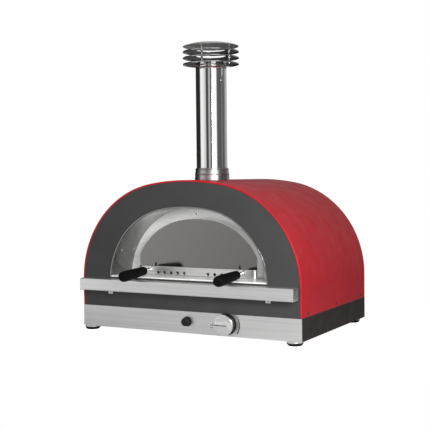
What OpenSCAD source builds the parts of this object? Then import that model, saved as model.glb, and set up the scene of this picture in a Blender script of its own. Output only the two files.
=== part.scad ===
// Countertop gas pizza oven: arched casing, insulated chamber, lift-out door, chimney and gas controls.
// Lengths are in millimetres. +Z is up, the oven's mouth faces -Y, and the origin is at the
// centre of the footprint at bench level.

/* [Casing] */
// Width of the arched casing and of the base
body_w = 780; // [770:1:800]
// Depth of the casing from its front face to its rear face
body_d = 543; // [535:1:560]
// Height of the base below the arched casing
base_h = 68; // [66:1:74]
// Height of the casing's crown above the base's lower edge
crown_h = 475; // [470:1:485]
// Radius of the casing's flat crown
crown_r = 730; // [700:5:760]
// Radius of the casing's rounded shoulders
shoulder_r = 316; // [305:1:325]
// Thickness of the casing and base sheets
sheet = 1.5; // [1.2:0.1:1.8]
// Visible width of the casing's folded front edge
hem_w = 5; // [4:0.5:7]
// Height of the feet
foot_h = 12; // [10:1:15]

/* [Mouth] */
// Half of the mouth's width at its foot
mouth_half_w = 284; // [280:1:286]
// Height of the mouth's crown above the base's lower edge
mouth_crown = 393; // [390:1:396]
// Radius of the mouth's crown
mouth_crown_r = 508; // [495:1:520]
// Radius of the mouth's shoulders
mouth_shoulder_r = 239; // [234:1:242]
// Depth of the mouth tunnel, from the front face to the chamber's front wall
tunnel_d = 120; // [115:1:125]
// Height of the cooking floor above the base's lower edge
floor_z = 166; // [164:1:168]

/* [Door] */
// Half of the door's width
door_half_w = 212; // [205:1:214]
// Height of the door's crown above the base's lower edge
door_crown = 351; // [346:1:354]
// Distance of the door's front face behind the oven's front face
door_y = 72; // [70:1:76]
// Length of each grip
grip_l = 127; // [120:1:135]
// Diameter of a grip at its free end
grip_tip_d = 34; // [28:0.5:34.5]
// Distance between the centres of the two grips
grip_pitch = 334; // [326:1:340]
// Diameter of one vent hole
vent_d = 10; // [8:0.5:11]

/* [Chimney] */
// Outer diameter of the flue pipe
flue_d = 100; // [98:0.5:102]
// Distance of the chimney's axis behind the oven's front face
flue_y = 180; // [178:1:190]
// Height of the flue pipe's top above the base's lower edge
flue_top = 838; // [820:1:850]
// Outer diameter of the chimney cap
cap_d = 181; // [176:1:186]

/* [Controls] */
// Distance of the knob's axis from the oven's centre line
knob_x = 142; // [130:1:150]
// Diameter of the knob
knob_d = 65; // [60:1:66]
// Height of the controls' axes above the base's lower edge
control_z = 37; // [36:1:38]
// Distance of the igniter's axis from the oven's centre line
igniter_x = 5; // [0:1:20]
// Diameter of the igniter's bezel
igniter_d = 31; // [28:1:32]

/* [Hidden] */

eps = 0.1;               // overrun of a cut past the face it opens
gap = 0.3;               // gap between separate curved sheets
reach = 20;              // overrun of a long cut that passes right through thin sheets
arc_steps = 18;          // straight runs in one shoulder arc
crown_steps = 4;         // straight runs in half of a crown arc
grip_drop = 8;           // fall of a grip from its root to its free end
grip_root_y = 24;        // distance of a grip's root behind the front face
grip_reach = grip_l - grip_root_y;   // how far the grips stand in front of the front face
inlet_l = 31;            // how far the gas inlet stands behind the rear face
front_y = (grip_reach - body_d - inlet_l) / 2;   // the front face's place along Y

// Insulation and chamber
wall = 52;               // shell face to dome face
liner = 1.2;             // thickness of the stainless liner sheets
chamber_back = body_d - 44;
rail_top = base_h + 26;
tray_z = 134;            // underside of the hearth tiles' bed
tile_t = floor_z - tray_z - liner;
tile_gap = 1;
deck_hole_d = 14;        // hole that the burner's feed pipe rises through
lip_w = 5;               // width of the mouth's rolled lip
lip_y = -0.5;            // the lip's front face
lip_foot = floor_z - 1.5;   // lower edge of the lip that runs along the mouth's foot
hearth_x0 = -258;        // the hearth leaves the burner's trench free at its left
hearth_x1 = 333;
hearth_y0 = tunnel_d + 3;
hearth_y1 = chamber_back - 3;
sill_z = lip_foot + lip_w;   // top of the tunnel's floor
flange_w = 18;           // how far the chamber's front wall shows inside the door's outline
rivet_d = 7;
rivet_h = 1.8;
rivet_ys = [32, 102];    // rivets in each flank of the tunnel
rivet_flank = 65;        // their angle from straight up
crown_rivet = [-26, 366];
screw_ys = [50, 276, body_d - 44];   // screws along each lower edge of the casing

// Door
door_t = 46;             // from the door's front face to its back face
door_crown_r = 404;
door_shoulder_r = 217;
door_arc_half_w = 238;   // half width that the door's arch would reach at its springing
door_z = sill_z + 1;
rail_t = 6;
rail_h = 27;
vent_z = door_z + 7.5;
vent_first_x = 43;
vent_pitch = 24.5;
vent_n = 5;
vent_last_x = vent_first_x + (vent_n - 1) * vent_pitch;
slider_t = 1.2;
slider_z = door_z + liner + gap;
slider_h = rail_h - 2 * liner - 2 * gap;
slider_shift = 2.5;      // how far the sliders stand off fully open
slider_travel = vent_pitch / 2;
lug_x = vent_last_x + 13;
lug_top = door_z + rail_h + 12;
handle_z = door_z + 17.7;

// Shelf
shelf_half_w = body_w / 2 - 11.5;
shelf_y = -34;
shelf_z1 = floor_z - 7;
shelf_z0 = shelf_z1 - 38;
shelf_fold = 12;         // width of the folds under the shelf
bracket_x = 274;
bracket_w = 16;

// Chimney
pipe_t = 1;
pipe_bottom = 455;
neck_r = flue_d / 2 - pipe_t - 0.5;
neck_bottom = flue_top - 44;
ring_z = [846, 866, 886];
lid_z = 904;
post_ring_r = 59;
slot_angle = 72;
slot_l = 36;
slot_w = 2.4;
post_d = 6;
collar_z = 470;          // the collar's foot
throat_z = crown_h - wall - 7;

// Feet
foot_d = 48;
rubber_d = 52;
rubber_foot_d = 40;
foot_x = 363;
foot_ys = [12, body_d - 48];
cup_h = 4;
foot_screw_d = 6;

// Controls
knob_front = -50;
knob_bar_w = 15;         // raised bar across the knob's face
knob_bar_t = 24;
knob_back = -20;         // the chromed cap ends here and the black skirt begins
skirt_back = -6.5;
spindle_front = -30;
spindle_d = 8;
plug_d = 16;
run_fit = 0.05;

module place() translate([0, front_y, foot_h]) children();

// A direction in the XZ plane, measured from straight up towards the right
function dir(a) = [sin(a), cos(a)];

// The right half of a three-centre arch, crown first, drawn inset by the given amount
function arch_half(half_w, crown, cr, sr, foot, inset) =
    let (a = asin((half_w - sr) / (cr - sr)),
         c1 = [0, crown - cr],
         c2 = c1 + (cr - sr) * dir(a))
    concat([for (i = [0 : crown_steps - 1]) c1 + (cr - inset) * dir(a * i / crown_steps)],
           [for (i = [0 : arc_steps]) c2 + (sr - inset) * dir(a + (90 - a) * i / arc_steps)],
           [[half_w - inset, foot]]);

module arch(half_w, crown, cr, sr, foot, inset) {
    right = arch_half(half_w, crown, cr, sr, foot, inset);
    n = len(right);
    polygon(concat(right, [for (i = [n - 1 : -1 : 1]) [-right[i][0], right[i][1]]]));
}

module shell_arch(inset, foot = base_h)
    arch(body_w / 2, crown_h, crown_r, shoulder_r, foot, inset);

// The mouth's outline, cut off level at its foot
module mouth_arch(inset, foot) intersection() {
    arch(mouth_half_w, mouth_crown, mouth_crown_r, mouth_shoulder_r, base_h, inset);
    translate([-body_w / 2, foot]) square([body_w, crown_h]);
}

// The door's outline: an arch whose lower flanks are cut off straight
module door_outline(inset)
    intersection() {
        arch(door_arc_half_w, door_crown, door_crown_r, door_shoulder_r, 60, inset);
        translate([-door_half_w + inset, door_z + inset])
            square([2 * (door_half_w - inset), door_crown]);
    }

// Extrudes an XZ outline from y0 to y1
module along_y(y0, y1) translate([0, y1, 0]) rotate([90, 0, 0]) linear_extrude(y1 - y0) children();

// A cylinder along Y from y0 to y1
module rod_y(x, z, y0, y1, d, n = 48)
    translate([x, y0, z]) rotate([-90, 0, 0]) cylinder(h = y1 - y0, d = d, $fn = n);

// A box given by its two corners
module block(a, b) translate(a) cube(b - a);

// The round way that the flue takes through the sheets over the chamber
module flue_way(d, z0 = 380, z1 = 520) translate([0, flue_y, z0]) cylinder(h = z1 - z0, d = d, $fn = 64);

module both_sides() { children(); mirror([1, 0, 0]) children(); }

// ---- Casing ----

module outer_shell() place() color([0.72, 0.10, 0.16])
    difference() {
        union() {
            along_y(0, body_d) difference() { shell_arch(0); shell_arch(sheet, base_h - eps); }
            for (y = [0, body_d - sheet])
                along_y(y, y + sheet) difference() { shell_arch(eps); shell_arch(hem_w, base_h - eps); }
        }
        flue_way(flue_d + 14);
    }

module front_panel() place() color([0.30, 0.30, 0.29])
    along_y(sheet, 2 * sheet) difference() {
        shell_arch(sheet + gap);
        mouth_arch(lip_w - liner - gap, lip_foot - gap);
    }

module rear_panel() place() color([0.30, 0.30, 0.29])
    along_y(body_d - 2 * sheet, body_d - sheet) shell_arch(sheet + gap);

// Angles on the deck that the casing's lower edges are screwed to
module shell_rails() place() color([0.6, 0.6, 0.6])
    both_sides() {
        block([body_w / 2 - 2 * sheet - gap, 4, base_h], [body_w / 2 - sheet - gap, body_d - 4, rail_top]);
        block([body_w / 2 - 22, 4, base_h], [body_w / 2 - 2 * sheet - gap, body_d - 4, base_h + sheet]);
    }

module shell_screws() place() color([0.15, 0.15, 0.15])
    both_sides() for (y = screw_ys)
        translate([body_w / 2, y, base_h + 12]) rotate([0, 90, 0]) cylinder(h = 2.2, d = 8, $fn = 32);

// Blanket over the dome and a block behind the chamber, both standing on the rails' tops
module chamber_insulation() place() color([0.9, 0.9, 0.86])
    difference() {
        union() {
            along_y(tunnel_d + 2, chamber_back + 1)
                difference() { shell_arch(sheet + 1, rail_top + 2); shell_arch(wall - gap, rail_top + 1); }
            along_y(chamber_back + 2, body_d - 5) shell_arch(sheet + 1, rail_top + 2);
        }
        flue_way(flue_d + 14);
    }

module front_insulation() place() color([0.9, 0.9, 0.86])
    along_y(4, tunnel_d - 1) difference() {
        shell_arch(sheet + 1, tray_z);
        mouth_arch(lip_w - liner - 2, lip_foot - 2);
    }

module floor_insulation() place() color([0.88, 0.87, 0.82])
    block([hearth_x0, 60, base_h + 1], [body_w / 2 - wall - 4, chamber_back - 1, tray_z - 1]);

module inner_dome() place() color([0.72, 0.72, 0.72])
    difference() {
        along_y(tunnel_d + liner, chamber_back)
            difference() { shell_arch(wall, tray_z + 1); shell_arch(wall + liner, tray_z); }
        flue_way(flue_d - 8);
    }

module inner_rear_wall() place() color([0.70, 0.70, 0.70])
    along_y(chamber_back, chamber_back + liner) shell_arch(wall, tray_z + 1);

module chamber_front_wall() place() color([0.90, 0.90, 0.89])
    along_y(tunnel_d, tunnel_d + liner) difference() {
        shell_arch(wall, tray_z + 1);
        translate([0, -eps]) door_outline(flange_w);
        translate([-door_half_w + flange_w, floor_z - 1.5]) square([2 * (door_half_w - flange_w), rail_h]);
    }

// Polished tunnel with a rolled lip that covers the cut edge of the front panel
module mouth_tunnel() place() color([0.86, 0.86, 0.86]) {
    cut = lip_foot - 1;
    along_y(lip_y, tunnel_d)
        difference() { mouth_arch(lip_w - liner, lip_foot); mouth_arch(lip_w, cut); }
    along_y(lip_y, lip_y + liner)
        difference() { mouth_arch(0, lip_foot); mouth_arch(lip_w - liner - eps, cut); }
    along_y(lip_y, sheet)
        difference() { mouth_arch(0, lip_foot); mouth_arch(liner, cut); }
}

// Floor of the tunnel, its front edge folded down into the foot of the lip
module mouth_floor() place() color([0.80, 0.80, 0.80]) {
    half_w = mouth_half_w - lip_w - 1.6;
    block([-half_w, lip_y, sill_z - liner], [half_w, tunnel_d - eps, sill_z]);
    block([-half_w, lip_y, lip_foot], [half_w, lip_y + liner, sill_z]);
    block([-half_w, lip_y, lip_foot], [half_w, sheet, lip_foot + liner]);
}

// Domed rivets in the tunnel's flanks and over the chamber's opening
module tunnel_rivets() place() color([0.75, 0.75, 0.75]) {
    span = mouth_crown_r - mouth_shoulder_r;
    shoulder = [0, mouth_crown - mouth_crown_r] + span * dir(asin((mouth_half_w - mouth_shoulder_r) / span));
    both_sides() for (y = rivet_ys)
        translate([shoulder[0], y, shoulder[1]]) rotate([0, rivet_flank, 0])
            translate([0, 0, mouth_shoulder_r - lip_w - rivet_h - 0.2])
                cylinder(h = rivet_h, d = rivet_d, $fn = 32);
    rod_y(crown_rivet[0], crown_rivet[1], tunnel_d - rivet_h, tunnel_d, rivet_d, 32);
}

// The hole through a level sheet at height z that the burner's feed pipe rises through
module feed_hole(z)
    translate([burner_x, feed_rise_y, z - reach / 2]) cylinder(h = reach, d = deck_hole_d, $fn = 32);

module hearth_tray() place() color([0.6, 0.6, 0.6])
    difference() {
        block([-body_w / 2 + wall + 3, tunnel_d + 2, tray_z - gap],
            [body_w / 2 - wall - 3, chamber_back - 1, tray_z + liner - gap]);
        feed_hole(tray_z);
    }

module hearth_tiles() place() color([0.82, 0.74, 0.62])
    for (i = [0, 1], j = [0, 1]) {
        w = (hearth_x1 - hearth_x0 - tile_gap) / 2;
        d = (hearth_y1 - hearth_y0 - tile_gap) / 2;
        x = hearth_x0 + i * (w + tile_gap);
        y = hearth_y0 + j * (d + tile_gap);
        block([x, y, bed_z], [x + w, y + d, floor_z]);
    }

// ---- Base ----

module base_front_panel() place() color([0.76, 0.75, 0.75])
    difference() {
        block([-body_w / 2, 0, 0], [body_w / 2, sheet, base_h]);
        rod_y(knob_x, control_z, -1, 3, spindle_d + 2);
        rod_y(igniter_x, control_z, -1, 3, 22.4);
    }

module base_sides() place() color([0.24, 0.20, 0.18])
    both_sides() block([body_w / 2 - sheet, sheet, 0], [body_w / 2, body_d, base_h]);

module base_rear_panel() place() color([0.24, 0.20, 0.18])
    difference() {
        block([-body_w / 2 + sheet, body_d - sheet, 0], [body_w / 2 - sheet, body_d, base_h]);
        rod_y(knob_x, control_z, body_d - 5, body_d + 5, 22);
        for (i = [-4 : 4]) translate([rear_slots_x + i * 18, body_d - reach / 2, 20]) cube([8, reach, 30]);
    }

rear_slots_x = -120;     // middle of the row of air slots in the rear panel

// Floor pan with a row of air slots
module base_floor() place() color([0.6, 0.6, 0.6])
    difference() {
        block([-body_w / 2 + sheet, sheet, 0], [body_w / 2 - sheet, body_d - sheet, sheet]);
        for (i = [-5 : 5]) block([i * 40 - 4, 200, -1], [i * 40 + 4, 340, 3]);
        at_feet(-1) cylinder(h = 5, d = foot_screw_d + 2 * gap, $fn = 32);
    }

module base_deck() place() color([0.6, 0.6, 0.6])
    difference() {
        block([-body_w / 2 + sheet, sheet, base_h - sheet], [body_w / 2 - sheet, body_d - sheet, base_h]);
        feed_hole(base_h);
        block([burner_x - 20, 180, base_h - 3], [burner_x + 20, 420, base_h + 1]);
    }

// Puts a copy of a part over each foot, at height z
module at_feet(z) for (x = [-foot_x, foot_x], y = foot_ys) translate([x, y, z]) children();

module foot_cups() place() color([0.78, 0.78, 0.78])
    at_feet(-cup_h) difference() {
        cylinder(h = cup_h, d = foot_d, $fn = 48);
        translate([0, 0, -1]) cylinder(h = cup_h + 2, d = foot_screw_d + 2 * gap, $fn = 32);
    }

module foot_rubbers() place() color([0.10, 0.10, 0.10])
    at_feet(-foot_h) difference() {
        cylinder(h = foot_h - cup_h, d1 = rubber_foot_d, d2 = rubber_d, $fn = 48);
        translate([0, 0, -1]) cylinder(h = foot_h, d = 2 * foot_screw_d + 2 * gap, $fn = 32);
    }

module foot_screws() place() color([0.6, 0.6, 0.6])
    at_feet(0) {
        translate([0, 0, -cup_h - 3]) cylinder(h = 3, d = 2 * foot_screw_d, $fn = 32);
        translate([0, 0, -cup_h - 0.2]) cylinder(h = 12, d = foot_screw_d, $fn = 32);
        translate([0, 0, sheet + eps]) cylinder(h = 5, d = 2 * foot_screw_d - 0.5, $fn = 32);
    }

// ---- Shelf across the front ----

// Channel folded from one sheet, open at its ends and along its underside
module front_shelf() place() color([0.70, 0.70, 0.70])
    difference() {
        block([-shelf_half_w, shelf_y, shelf_z0], [shelf_half_w, sheet, shelf_z1]);
        block([-body_w / 2, shelf_y + sheet, shelf_z0 + sheet], [body_w / 2, 0, shelf_z1 - sheet]);
        block([-body_w / 2, shelf_y + shelf_fold, shelf_z0 - 1], [body_w / 2, -shelf_fold, shelf_z0 + 3]);
    }

module shelf_brackets() place() color([0.70, 0.70, 0.70])
    both_sides() {
        block([bracket_x, -9, shelf_z0 - sheet], [bracket_x + bracket_w, sheet, shelf_z0]);
        block([bracket_x, 0, shelf_z0 - 12], [bracket_x + bracket_w, sheet, shelf_z0 - sheet]);
    }

module shelf_screws() place() color([0.5, 0.5, 0.5])
    both_sides() rod_y(bracket_x + bracket_w / 2, shelf_z0 - 7, -1.5, 0, 6, 32);

// ---- Burner and gas train ----

burner_x = -296;
burner_y0 = 150;
burner_y1 = chamber_back - 25;
burner_z = floor_z - 4;
burner_d = 30;
burner_port_n = 12;
burner_port_pitch = 25;
pipe_d = 10;
feed_y = 58;             // the feed pipe leaves the valve's flank here
feed_rise_y = burner_y0 - 12;
valve_back = 66;
valve_d = 34;
electrode_x = burner_x - 25;
bed_z = tray_z + liner - gap;   // top of the hearth tray

module burner_tube() place() color([0.55, 0.55, 0.53])
    difference() {
        rod_y(burner_x, burner_z, burner_y0, burner_y1, burner_d);
        rod_y(burner_x, burner_z, burner_y0 + 3, burner_y1 - 3, burner_d - 4);
        for (i = [0 : burner_port_n - 1])
            translate([burner_x, burner_y0 + 22 + i * burner_port_pitch, burner_z])
                cylinder(h = burner_d, d = 6, $fn = 24);
    }

module burner_brackets() place() color([0.6, 0.6, 0.6])
    for (y = [burner_y0 + 35, burner_y1 - 45])
        difference() {
            block([burner_x - 12, y, bed_z], [burner_x + 12, y + 10, burner_z]);
            rod_y(burner_x, burner_z, y - 1, y + 11, burner_d + 2 * run_fit);
        }

// Perforated guard between the burner and the cooking floor
module flame_guard() place() color([0.6, 0.6, 0.6])
    difference() {
        block([hearth_x0 - 4, burner_y0 - 15, bed_z], [hearth_x0 - 4 + liner, burner_y1 + 10, floor_z + 44]);
        for (i = [0 : 15]) translate([hearth_x0 - 10, burner_y0 + 4 + i * 20, floor_z + 22])
            rotate([0, 90, 0]) cylinder(h = 20, d = 11, $fn = 24);
    }

module thermocouple() place() color([0.75, 0.6, 0.4])
    translate([electrode_x, burner_y0 + 10, bed_z]) cylinder(h = 55, d = 4, $fn = 24);

module spark_electrode() place() color([0.93, 0.92, 0.88])
    translate([electrode_x, burner_y0 + 30, bed_z]) {
        cylinder(h = 30, d = 8, $fn = 32);
        cylinder(h = 52, d = 2.4, $fn = 24);
    }

// From the valve's left flank across the base, back and up to the burner's end
module burner_feed_pipe() place() color([0.72, 0.45, 0.30])
    union() {
        translate([burner_x, feed_y, control_z]) rotate([0, 90, 0])
            cylinder(h = knob_x - valve_d / 2 - burner_x, d = pipe_d, $fn = 32);
        rod_y(burner_x, control_z, feed_y, feed_rise_y, pipe_d, 32);
        translate([burner_x, feed_rise_y, control_z])
            cylinder(h = burner_z - control_z, d = pipe_d, $fn = 32);
        rod_y(burner_x, burner_z, feed_rise_y, burner_y0, pipe_d, 32);
        for (bend = [[feed_y, control_z], [feed_rise_y, control_z], [feed_rise_y, burner_z]])
            translate([burner_x, bend[0], bend[1]]) sphere(d = pipe_d, $fn = 32);
    }

module supply_pipe() place() color([0.72, 0.45, 0.30])
    rod_y(knob_x, control_z, valve_back, body_d - 12, pipe_d, 32);

inlet_thread_d = 20.9;   // outer diameter of a half-inch pipe thread
inlet_collar_d = 27;

// Male threaded stub for the gas hose, held in the rear panel by its collar
module gas_inlet() place() color([0.78, 0.64, 0.35])
    difference() {
        union() {
            rod_y(knob_x, control_z, body_d - 12, body_d + 6, inlet_thread_d);
            rod_y(knob_x, control_z, body_d, body_d + 8, inlet_collar_d);
            rod_y(knob_x, control_z, body_d + 8, body_d + inlet_l, inlet_thread_d);
        }
        rod_y(knob_x, control_z, body_d - 13, body_d + inlet_l + 1, 8, 32);
    }

module valve_body() place() color([0.78, 0.64, 0.35])
    difference() {
        union() {
            rod_y(knob_x, control_z, 20, valve_back, valve_d);
            rod_y(knob_x, control_z, sheet, 20, 20);
        }
        rod_y(knob_x, control_z, 24 - gap, 56, plug_d + 2 * run_fit);
        rod_y(knob_x, control_z, 0, 30, spindle_d + 1);
    }

module valve_plug() place() color([0.7, 0.6, 0.4])
    difference() {
        rod_y(knob_x, control_z, 24, 54, plug_d);
        rod_y(knob_x, control_z, 23, 48, spindle_d + 2 * run_fit);
    }

module valve_spindle() place() color([0.7, 0.7, 0.7])
    rod_y(knob_x, control_z, spindle_front, 42, spindle_d);

module knob_bezel() place() color([0.08, 0.08, 0.08])
    difference() {
        rod_y(knob_x, control_z, -sheet, 0, knob_d + 2, 72);
        rod_y(knob_x, control_z, -3, 1, spindle_d + 6);
    }

// Round knob with a raised bar across its face
module control_knob() place() color([0.85, 0.85, 0.85])
    difference() {
        union() {
            rod_y(knob_x, control_z, knob_front + knob_bar_t, knob_back, knob_d, 72);
            intersection() {
                rod_y(knob_x, control_z, knob_front, knob_front + knob_bar_t + 1, knob_d - 1, 72);
                block([knob_x - knob_d / 2, knob_front, control_z - knob_bar_w / 2],
                    [knob_x + knob_d / 2, knob_front + knob_bar_t + 1, control_z + knob_bar_w / 2]);
            }
        }
        rod_y(knob_x, control_z, spindle_front, 0, spindle_d);
    }

module knob_skirt() place() color([0.08, 0.08, 0.08])
    difference() {
        rod_y(knob_x, control_z, knob_back, skirt_back, knob_d, 72);
        rod_y(knob_x, control_z, knob_back - 1, skirt_back + 1, spindle_d + 1);
    }

igniter_bore_d = 18;
igniter_head_d = 25;
igniter_front = -18;
igniter_head_t = 8;

module igniter_body() place() color([0.12, 0.12, 0.12])
    difference() {
        rod_y(igniter_x, control_z, 0, 52, 22);
        rod_y(igniter_x, control_z, -1, 30, igniter_bore_d + 2 * run_fit);
    }

module igniter_bezel() place() color([0.12, 0.12, 0.12])
    difference() {
        rod_y(igniter_x, control_z, -4, 0, igniter_d);
        rod_y(igniter_x, control_z, -5, 1, igniter_bore_d + 0.8);
    }

module igniter_button() place() color([0.10, 0.10, 0.10]) {
    rod_y(igniter_x, control_z, igniter_front, igniter_front + igniter_head_t, igniter_head_d);
    rod_y(igniter_x, control_z, igniter_front + igniter_head_t - eps, 22, igniter_bore_d);
}

// ---- Chimney ----

// A tube about the chimney's axis
module flue_tube(z0, z1, d_out, t) translate([0, flue_y, z0]) difference() {
    cylinder(h = z1 - z0, d = d_out, $fn = 96);
    translate([0, 0, -1]) cylinder(h = z1 - z0 + 2, d = d_out - 2 * t, $fn = 96);
}

// A ring about the chimney's axis from a half section
module flue_ring(section) translate([0, flue_y, 0]) rotate_extrude($fn = 96) polygon(section);

// Duct from the dome up to the pipe's foot
module flue_throat() place() color([0.6, 0.6, 0.6])
    flue_tube(throat_z, pipe_bottom - gap, flue_d - 9, liner);

// A profile point of the collar, by its distance from the pipe and its height over the collar's foot
function on_collar(out, up) = [flue_d / 2 + out, collar_z + up];

// Flared collar with two beads, seated over the hole in the casing
module flue_collar() place() color([0.85, 0.85, 0.85])
    flue_ring([on_collar(0.4, 0), on_collar(6.5, 0), on_collar(6.2, 6), on_collar(5.2, 22),
        on_collar(6.2, 24), on_collar(4.8, 26), on_collar(3.4, 38), on_collar(4.4, 40),
        on_collar(2.6, 43), on_collar(0.4, 43)]);

module flue_pipe() place() color([0.85, 0.85, 0.85])
    difference() {
        flue_tube(pipe_bottom, flue_top, flue_d, pipe_t);
        translate([0, flue_y, flue_top - slot_l]) rotate([0, 0, slot_angle - 90])
            translate([0, -slot_w / 2, 0]) cube([flue_d, slot_w, slot_l + 1]);
    }

module flue_screw() place() color([0.5, 0.5, 0.5])
    translate([0, flue_y, flue_top - slot_l - 9]) rotate([0, 0, slot_angle - 90]) rotate([0, 90, 0])
        translate([0, 0, flue_d / 2]) cylinder(h = 3.5, d = 7, $fn = 32);

module cap_neck() place() color([0.85, 0.85, 0.85])
    flue_tube(neck_bottom, ring_z[0] + 7, 2 * neck_r, pipe_t);

// One flared ring, its rim at height z
function flared(z, r_in, r_out) =
    [[r_in, z + 7], [r_out - 1, z], [r_out, z + 0.4], [r_out - 0.6, z + 1.5], [r_in, z + 8.4]];

// Three flared rings held on three posts
module cap_rings() place() color([0.85, 0.85, 0.85]) {
    flue_ring(flared(ring_z[0], neck_r + 0.05, cap_d / 2));
    for (z = [ring_z[1], ring_z[2]]) flue_ring(flared(z, post_ring_r - 12, cap_d / 2));
    for (a = [30, 150, 270])
        translate([post_ring_r * cos(a), flue_y + post_ring_r * sin(a), ring_z[0] + 5])
            cylinder(h = lid_z - ring_z[0] + 1.5, d = post_d, $fn = 32);
}

module cap_lid() place() color([0.80, 0.80, 0.80])
    flue_ring([[0, lid_z + 14], [post_ring_r + 8, lid_z + 6], [cap_d / 2 - 1, lid_z],
        [cap_d / 2, lid_z + 0.5], [cap_d / 2 - 0.8, lid_z + 2],
        [post_ring_r + 8, lid_z + 8.5], [0, lid_z + 17]]);

// ---- Door ----

// The vent holes of one side, from the middle outwards
module vents(y0, y1, shift, d) for (i = [0 : vent_n - 1])
    rod_y(vent_first_x + i * vent_pitch + shift, vent_z, y0, y1, d, 24);

module door_front_panel() place() color([0.45, 0.45, 0.44])
    difference() {
        along_y(door_y, door_y + liner) door_outline(0);
        both_sides() vents(door_y - 1, door_y + 4, 0, vent_d);
    }

// The door's rim and back, folded from one sheet
module door_box() place() color([0.80, 0.80, 0.80])
    difference() {
        along_y(door_y + liner, door_y + door_t + 1.5) door_outline(0);
        along_y(door_y, door_y + door_t + 1.5 - liner) door_outline(liner);
        both_sides() vents(door_y, door_y + door_t + 5, 0, vent_d);
    }

module door_insulation() place() color([0.9, 0.9, 0.86])
    difference() {
        along_y(door_y + liner + 0.5, door_y + door_t - 0.5) door_outline(liner + 1);
        both_sides() block([vent_first_x - 8, 0, vent_z - 8],
            [vent_last_x + 8, door_y + 2 * door_t, vent_z + 8]);
    }

// Channel along the door's foot that the vent sliders run in
module door_rail() place() color([0.85, 0.85, 0.85])
    difference() {
        block([-door_half_w, door_y - rail_t, door_z], [door_half_w, door_y, door_z + rail_h]);
        block([-door_half_w + liner, door_y - rail_t + liner, door_z + liner],
            [door_half_w - liner, door_y + 1, door_z + rail_h - liner]);
        both_sides() {
            vents(door_y - rail_t - 1, door_y, 0, vent_d);
            block([lug_x - slider_travel - 1, door_y - rail_t + liner, door_z + rail_h - 2],
                [lug_x + 3, door_y - 0.6, door_z + rail_h + 1]);
        }
    }

// A perforated strip with a small lug that stands up through the slot in the rail's top
module vent_slider(shift) {
    y0 = door_y - rail_t + liner + gap;
    difference() {
        block([vent_first_x - 24 + shift, y0, slider_z],
            [vent_last_x + 20 + shift, y0 + slider_t, slider_z + slider_h]);
        vents(y0 - 1, y0 + 3, shift, vent_d);
    }
    block([lug_x + shift, y0, slider_z + slider_h - 4], [lug_x + 2 + shift, y0 + 3.2, lug_top]);
}

module vent_slider_left() place() color([0.75, 0.75, 0.75]) mirror([1, 0, 0]) vent_slider(-slider_shift);

module vent_slider_right() place() color([0.75, 0.75, 0.75]) vent_slider(-slider_shift);

// The frame of each handle: +Z runs forwards and slightly down from the rail's face
module handle_frame() both_sides() translate([grip_pitch / 2, door_y - rail_t, handle_z])
    rotate([90 + atan(grip_drop / grip_l), 0, 0]) children();

shank_l = door_y - rail_t - grip_root_y;   // from the rail's face to a grip's root
shank_d = 10;
grip_root_d = 27;
ferrule_l = 9;

module handle_shanks() place() color([0.75, 0.75, 0.75])
    difference() {
        handle_frame() {
            translate([0, 0, -2]) cylinder(h = shank_l + 26, d = shank_d, $fn = 32);
            cylinder(h = 3, d = 18, $fn = 48);
        }
        block([-door_half_w, door_y - rail_t, 0], [door_half_w, door_y + 20, 300]);
    }

module handle_ferrules() place() color([0.5, 0.5, 0.5])
    handle_frame() translate([0, 0, shank_l - ferrule_l]) difference() {
        cylinder(h = ferrule_l, d1 = 14, d2 = grip_root_d - 1, $fn = 48);
        translate([0, 0, -1]) cylinder(h = ferrule_l + 2, d = shank_d, $fn = 32);
    }

module handle_grips() place() color([0.06, 0.06, 0.06])
    handle_frame() translate([0, 0, shank_l]) difference() {
        rotate_extrude($fn = 64) polygon([[0, 0], [grip_root_d / 2 - 1, 0], [grip_root_d / 2, 2],
            [grip_tip_d / 2 - 0.5, grip_l * 0.62], [grip_tip_d / 2, grip_l - 14],
            [grip_tip_d / 2 - 1.5, grip_l - 5], [grip_tip_d / 2 - 5, grip_l - 1], [0, grip_l]]);
        translate([0, 0, -1]) cylinder(h = 27, d = shank_d, $fn = 32);
    }

outer_shell();
front_panel();
rear_panel();
shell_rails();
shell_screws();
chamber_insulation();
front_insulation();
floor_insulation();
inner_dome();
inner_rear_wall();
chamber_front_wall();
mouth_tunnel();
mouth_floor();
tunnel_rivets();
hearth_tray();
hearth_tiles();
base_front_panel();
base_sides();
base_rear_panel();
base_floor();
base_deck();
foot_cups();
foot_rubbers();
foot_screws();
front_shelf();
shelf_brackets();
shelf_screws();
burner_tube();
burner_brackets();
flame_guard();
thermocouple();
spark_electrode();
burner_feed_pipe();
supply_pipe();
gas_inlet();
valve_body();
valve_plug();
valve_spindle();
knob_bezel();
control_knob();
knob_skirt();
igniter_body();
igniter_bezel();
igniter_button();
flue_throat();
flue_collar();
flue_pipe();
flue_screw();
cap_neck();
cap_rings();
cap_lid();
door_front_panel();
door_box();
door_rail();
door_insulation();
vent_slider_left();
vent_slider_right();
handle_shanks();
handle_ferrules();
handle_grips();
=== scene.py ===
"""Looks for the arched countertop pizza oven, built round the fixed frame of its CAD parts.

Shapes are worked out in millimetres in the oven's own axes: x to the right, y back from the front face,
z up from the lower edge of the base. make() puts them into the frame, in metres.
"""
import math

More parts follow.
